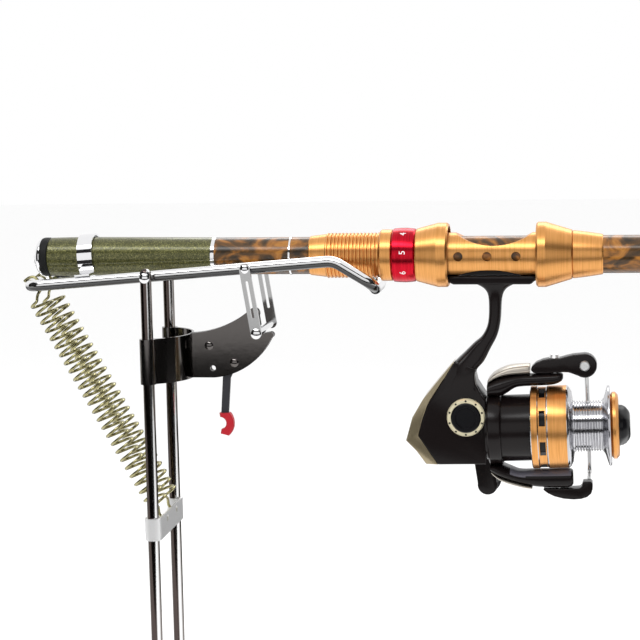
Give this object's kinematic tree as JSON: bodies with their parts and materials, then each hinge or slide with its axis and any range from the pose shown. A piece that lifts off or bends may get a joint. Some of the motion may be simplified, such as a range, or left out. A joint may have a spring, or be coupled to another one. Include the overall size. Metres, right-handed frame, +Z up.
{
  "type": "spring rod holder with rod and spinning reel",
  "caption": "Spring-loaded ground rod holder on two spikes, holding a telescopic fishing rod with a spinning reel in its screw-down reel seat.",
  "frame": {"origin": "on the ground, midway between the points of the two spikes", "axes": "+X along the rod towards its tip, +Z up, -Y towards the reel's screw-cap side"},
  "size_m": [0.6815, 0.0986, 0.3755],
  "materials": {
    "polished_steel": "polished stainless bar",
    "dark_steel": "mirror polished strip",
    "bright_plate": "bright sheet",
    "spring_wire": "yellow zinc wire",
    "lever_steel": "dark grey",
    "red_rubber": "smooth",
    "chrome": "polished",
    "black_rubber": "matte",
    "olive_paint": "olive metallic flake",
    "silver_trim": "bright",
    "burl_blank": "lacquered burl pattern",
    "gold": "gold anodised, brushed",
    "red_anodised": "red anodised",
    "guide_frame": "dark bright wire",
    "black_blank": "gloss lacquer",
    "reel_plastic": "dark brown-black gloss",
    "bronze": "metallic bronze",
    "champagne": "satin silver",
    "machined": "machined silver",
    "knob_black": "satin black",
    "gear_metal": "machined"
  },
  "bodies": {
    "stand": {"leg_near": "polished_steel", "leg_far": "polished_steel", "pivot_rivets": "polished_steel", "spring_bracket": "bright_plate", "catch_plate_near": "dark_steel", "catch_plate_far": "dark_steel", "catch_rivets": "polished_steel", "spring_near": "spring_wire", "spring_far": "spring_wire"},
    "trigger": {"trigger_lever": "lever_steel", "trigger_tip": "red_rubber"},
    "arm": {"arm_frame": "polished_steel", "butt_hoop": "chrome"},
    "stirrup": {"stirrup_near": "polished_steel", "stirrup_far": "polished_steel", "stirrup_pin": "polished_steel", "stirrup_rivets": "polished_steel"},
    "rod": {"butt_cap": "chrome", "lanyard_ring": "polished_steel", "butt_gasket": "black_rubber", "rod_grip": "olive_paint", "trim_rings": "silver_trim", "rod_blank": "burl_blank", "seat_barrel": "gold", "seat_body": "gold", "fixed_hood": "gold", "seat_trim": "gold", "guide_1": "guide_frame", "reel_body": "reel_plastic", "side_cover": "reel_plastic", "rear_cover": "bronze", "side_cap_ring": "bronze", "side_cap": "knob_black", "main_bearing": "polished_steel"},
    "hood": {"slide_hood": "gold"},
    "nut": {"seat_nut": "red_anodised", "lock_ring": "gold"},
    "tube_2": {"section_2": "black_blank", "guide_2": "guide_frame"},
    "tube_3": {"section_3": "black_blank", "guide_3": "guide_frame"},
    "tube_4": {"section_4": "black_blank", "guide_4": "guide_frame"},
    "crank": {"drive_gear": "gear_metal", "crank_arm": "reel_plastic"},
    "knob": {"handle_knob": "knob_black"},
    "rotor_unit": {"rotor": "reel_plastic", "pinion": "gear_metal", "rotor_arm_covers": "champagne"},
    "bail": {"bail_arm": "reel_plastic", "bail_lever": "reel_plastic", "bail_wire": "polished_steel", "bail_screws": "chrome"},
    "roller": {"line_roller": "chrome"},
    "shaft": {"main_shaft": "polished_steel", "crosswind_slider": "gear_metal"},
    "spool_unit": {"spool": "machined", "spool_lip": "gold"},
    "drag": {"drag_knob": "knob_black"}
  },
  "joints": [
    {"name": "arm_tilt", "type": "hinge", "parent": "stand", "child": "arm", "pos_m": [0, 0, 0.35], "axis": [0, -1, 0], "range_deg": [0, 49.5], "deforming": ["spring_near", "spring_far"]},
    {"name": "trigger_pull", "type": "hinge", "parent": "stand", "child": "trigger", "pos_m": [0.0409, 0, 0.3023], "axis": [0, -1, 0], "range_deg": [-12, 12]},
    {"name": "stirrup_swing", "type": "hinge", "parent": "arm", "child": "stirrup", "pos_m": [0.0517, 0, 0.354], "axis": [0, -1, 0], "range_deg": [0, 60]},
    {"name": "rod_draw", "type": "slide", "parent": "arm", "child": "rod", "axis": [1, 0, 0], "range_m": [0, 0.04]},
    {"name": "hood_slide", "type": "slide", "parent": "rod", "child": "hood", "axis": [-1, 0, 0], "range_m": [0, 0.0039]},
    {"name": "nut_turn", "type": "hinge", "parent": "hood", "child": "nut", "pos_m": [0.13, 0, 0.3588], "axis": [1, 0, 0], "range_deg": [0, 739]},
    {"name": "tube_2_draw", "type": "slide", "parent": "rod", "child": "tube_2", "axis": [1, 0, 0], "range_m": [0, 0.54]},
    {"name": "tube_3_draw", "type": "slide", "parent": "tube_2", "child": "tube_3", "axis": [1, 0, 0], "range_m": [0, 0.54]},
    {"name": "tube_4_draw", "type": "slide", "parent": "tube_3", "child": "tube_4", "axis": [1, 0, 0], "range_m": [0, 0.54]},
    {"name": "crank_turn", "type": "hinge", "parent": "rod", "child": "crank", "pos_m": [0.164, 0, 0.2763], "axis": [0, 1, 0], "continuous": true},
    {"name": "rotor_spin", "type": "hinge", "parent": "rod", "child": "rotor_unit", "pos_m": [0.18399, 0, 0.2685], "axis": [0.9994, 0, 0.0349], "continuous": true},
    {"name": "knob_spin", "type": "hinge", "parent": "crank", "child": "knob", "pos_m": [0.171, 0.057, 0.2293], "axis": [0, 1, 0], "continuous": true},
    {"name": "bail_flip", "type": "hinge", "parent": "rotor_unit", "child": "bail", "pos_m": [0.20997, 0, 0.26941], "axis": [0.0349, 0, -0.9994], "range_deg": [0, 110]},
    {"name": "roller_spin", "type": "hinge", "parent": "bail", "child": "roller", "pos_m": [0.22415, 0.0064, 0.30172], "axis": [0, 1, 0], "continuous": true},
    {"name": "spool_stroke", "type": "slide", "parent": "rod", "child": "shaft", "axis": [0.9994, 0, 0.0349], "range_m": [-0.008, 0]},
    {"name": "spool_spin", "type": "hinge", "parent": "shaft", "child": "spool_unit", "pos_m": [0.22396, 0, 0.26989], "axis": [0.9994, 0, 0.0349], "continuous": true},
    {"name": "drag_turn", "type": "hinge", "parent": "shaft", "child": "drag", "pos_m": [0.24395, 0, 0.27059], "axis": [0.9994, 0, 0.0349], "range_deg": [-90, 90]}
  ],
  "couplings": [
    {"joint": "rotor_spin", "follows": "crank_turn", "ratio": -5},
    {"joint": "nut_turn", "follows": "hood_slide", "rad_per_m": 3306.9}
  ]
}
